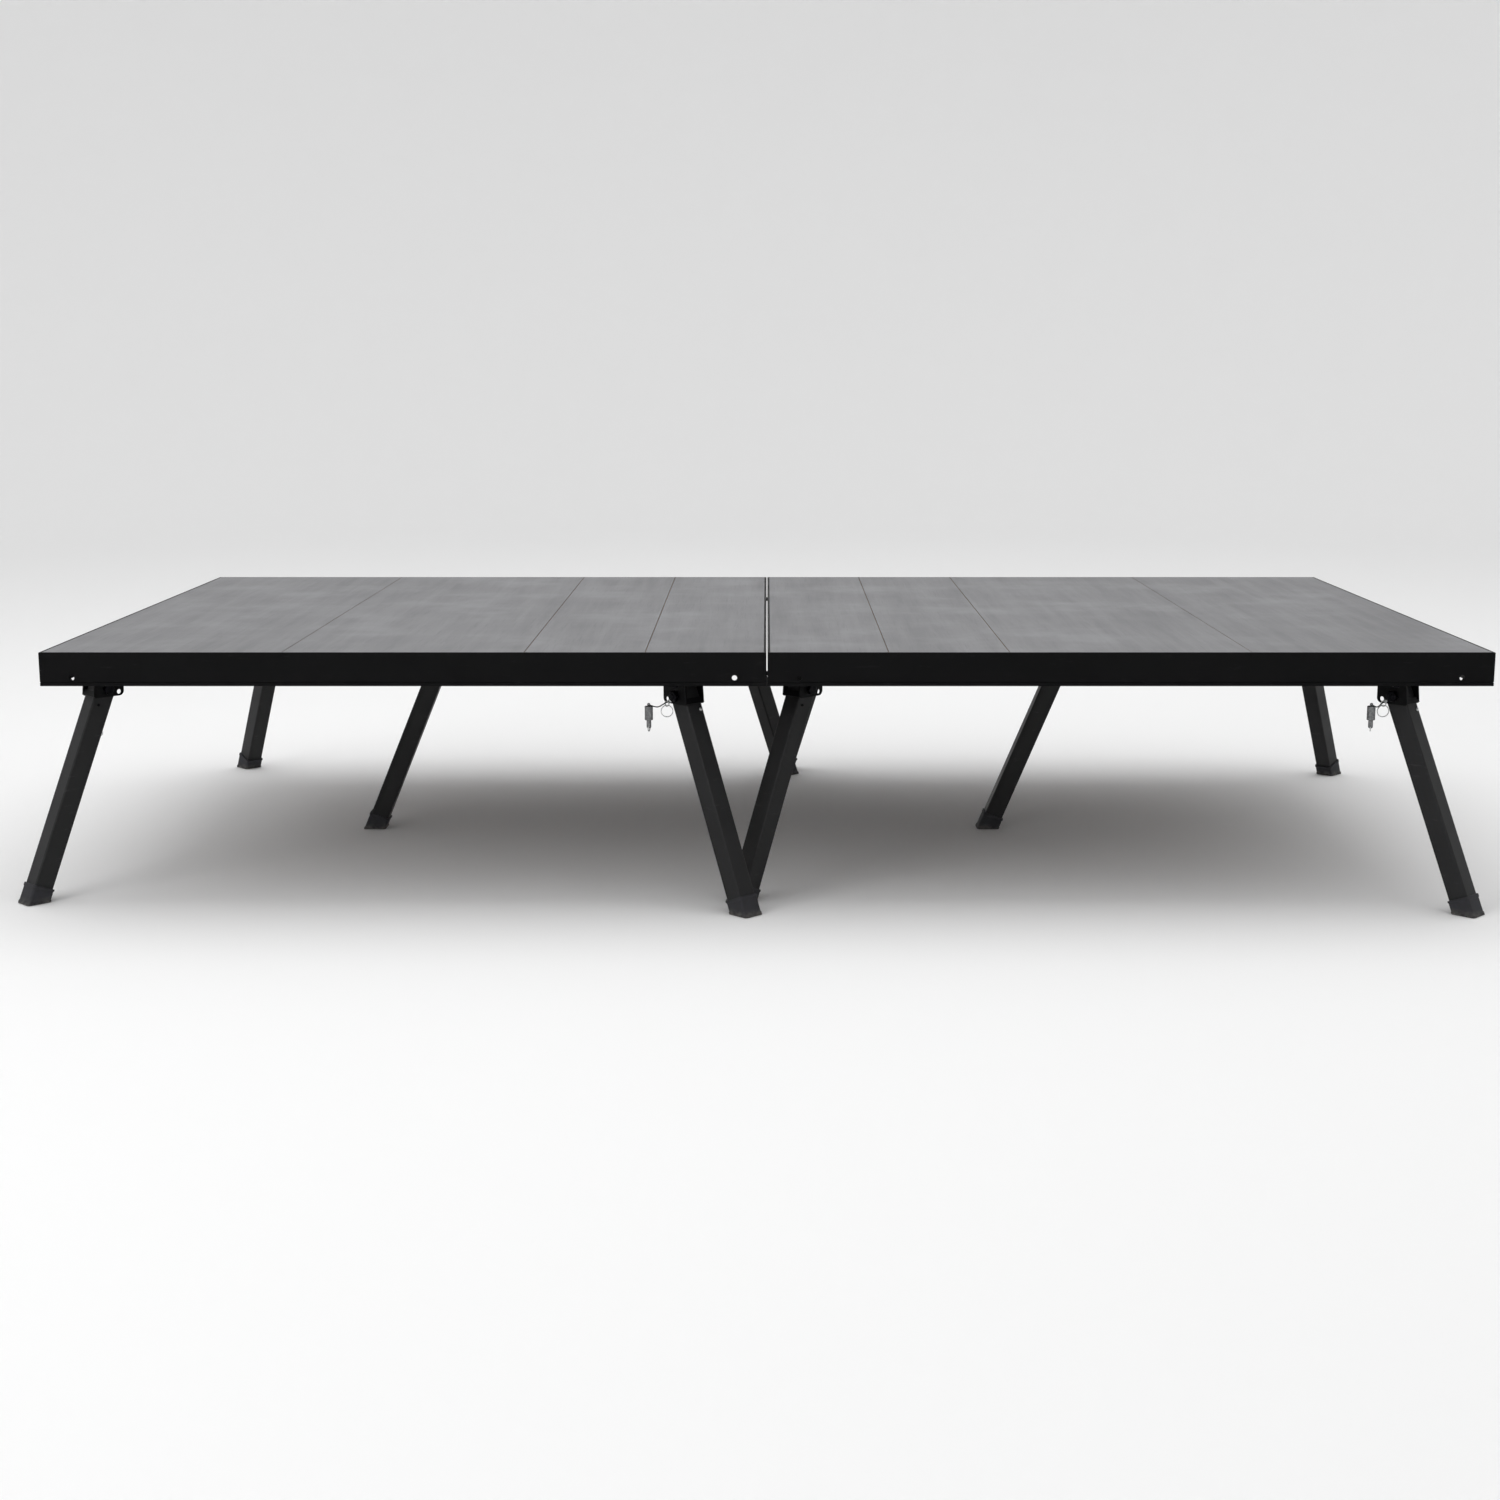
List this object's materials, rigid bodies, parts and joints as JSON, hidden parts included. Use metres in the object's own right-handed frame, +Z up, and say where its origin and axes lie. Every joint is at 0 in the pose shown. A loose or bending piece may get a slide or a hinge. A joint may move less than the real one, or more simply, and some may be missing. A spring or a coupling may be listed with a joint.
{
  "type": "stage riser platform",
  "caption": "Low stage platform of two square decks side by side, with flush grey boards, a black hollow frame and splayed legs that fold under it.",
  "frame": {"origin": "on the floor under the middle of the platform", "axes": "+X along the long side, +Y from front to back, +Z up"},
  "size_m": [2.5864, 1.3654, 0.44],
  "materials": {
    "frame_paint": "satin black powder coat",
    "bracket_paint": "satin black powder coat",
    "leg_paint": "semi-matt black powder coat",
    "deck_board": "grey non-slip film on plywood",
    "shoe_rubber": "matt",
    "zinc_steel": "bright zinc plate",
    "black_steel": "black oxide, oiled",
    "lanyard_plastic": "black vinyl over wire rope"
  },
  "bodies": {
    "frame": {"module_a_rail_front": "frame_paint", "module_a_rail_right": "frame_paint", "module_a_rail_back": "frame_paint", "module_a_rail_left": "frame_paint", "module_a_board_1": "deck_board", "module_a_board_2": "deck_board", "module_a_board_3": "deck_board", "module_a_board_4": "deck_board", "module_a_joists": "frame_paint", "module_a_leg_shelves": "frame_paint", "module_a_leg_brackets": "bracket_paint", "module_b_rail_front": "frame_paint", "module_b_rail_right": "frame_paint", "module_b_rail_back": "frame_paint", "module_b_rail_left": "frame_paint", "module_b_board_1": "deck_board", "module_b_board_2": "deck_board", "module_b_board_3": "deck_board", "module_b_board_4": "deck_board", "module_b_joists": "frame_paint", "module_b_leg_shelves": "frame_paint", "module_b_leg_brackets": "bracket_paint", "module_a_lanyard_front_left": "lanyard_plastic", "module_a_lanyard_front_right": "lanyard_plastic", "module_a_lanyard_back_right": "lanyard_plastic", "module_a_lanyard_back_left": "lanyard_plastic", "module_a_lanyard_centre": "lanyard_plastic", "module_b_lanyard_front_left": "lanyard_plastic", "module_b_lanyard_front_right": "lanyard_plastic", "module_b_lanyard_back_right": "lanyard_plastic", "module_b_lanyard_back_left": "lanyard_plastic", "module_b_lanyard_centre": "lanyard_plastic", "pivot_bolts": "black_steel", "pivot_nuts": "black_steel", "bracket_bolts": "black_steel", "link_bolts": "black_steel", "link_nuts": "black_steel", "lock_pins": "zinc_steel", "lanyard_rivets": "zinc_steel", "lanyard_rings": "zinc_steel"},
    "module_a_front_left": {"module_a_leg_front_left": "leg_paint", "module_a_shoe_front_left": "shoe_rubber"},
    "module_a_front_right": {"module_a_leg_front_right": "leg_paint", "module_a_shoe_front_right": "shoe_rubber"},
    "module_a_back_right": {"module_a_leg_back_right": "leg_paint", "module_a_shoe_back_right": "shoe_rubber"},
    "module_a_back_left": {"module_a_leg_back_left": "leg_paint", "module_a_shoe_back_left": "shoe_rubber"},
    "module_a_centre": {"module_a_leg_centre": "leg_paint", "module_a_shoe_centre": "shoe_rubber"},
    "module_b_front_left": {"module_b_leg_front_left": "leg_paint", "module_b_shoe_front_left": "shoe_rubber"},
    "module_b_front_right": {"module_b_leg_front_right": "leg_paint", "module_b_shoe_front_right": "shoe_rubber"},
    "module_b_back_right": {"module_b_leg_back_right": "leg_paint", "module_b_shoe_back_right": "shoe_rubber"},
    "module_b_back_left": {"module_b_leg_back_left": "leg_paint", "module_b_shoe_back_left": "shoe_rubber"},
    "module_b_centre": {"module_b_leg_centre": "leg_paint", "module_b_shoe_centre": "shoe_rubber"}
  },
  "joints": [
    {"name": "module_a_front_left_fold", "type": "hinge", "parent": "frame", "child": "module_a_front_left", "pos_m": [-1.16, -0.4695, 0.359], "axis": [0.7071, -0.7071, 0], "range_deg": [0, 112.5]},
    {"name": "module_a_front_right_fold", "type": "hinge", "parent": "frame", "child": "module_a_front_right", "pos_m": [-0.141, -0.5495, 0.359], "axis": [0.7071, 0.7071, 0], "range_deg": [0, 112.5]},
    {"name": "module_a_back_right_fold", "type": "hinge", "parent": "frame", "child": "module_a_back_right", "pos_m": [-0.061, 0.4695, 0.359], "axis": [-0.7071, 0.7071, 0], "range_deg": [0, 112.5]},
    {"name": "module_a_back_left_fold", "type": "hinge", "parent": "frame", "child": "module_a_back_left", "pos_m": [-1.08, 0.5495, 0.359], "axis": [-0.7071, -0.7071, 0], "range_deg": [0, 112.5]},
    {"name": "module_a_centre_fold", "type": "hinge", "parent": "frame", "child": "module_a_centre", "pos_m": [-0.6325, 0.022, 0.359], "axis": [0, -1, 0], "range_deg": [0, 112.5]},
    {"name": "module_b_front_left_fold", "type": "hinge", "parent": "frame", "child": "module_b_front_left", "pos_m": [0.061, -0.4695, 0.359], "axis": [0.7071, -0.7071, 0], "range_deg": [0, 112.5]},
    {"name": "module_b_front_right_fold", "type": "hinge", "parent": "frame", "child": "module_b_front_right", "pos_m": [1.08, -0.5495, 0.359], "axis": [0.7071, 0.7071, 0], "range_deg": [0, 112.5]},
    {"name": "module_b_back_right_fold", "type": "hinge", "parent": "frame", "child": "module_b_back_right", "pos_m": [1.16, 0.4695, 0.359], "axis": [-0.7071, 0.7071, 0], "range_deg": [0, 112.5]},
    {"name": "module_b_back_left_fold", "type": "hinge", "parent": "frame", "child": "module_b_back_left", "pos_m": [0.141, 0.5495, 0.359], "axis": [-0.7071, -0.7071, 0], "range_deg": [0, 112.5]},
    {"name": "module_b_centre_fold", "type": "hinge", "parent": "frame", "child": "module_b_centre", "pos_m": [0.5885, 0.022, 0.359], "axis": [0, -1, 0], "range_deg": [0, 112.5]}
  ]
}
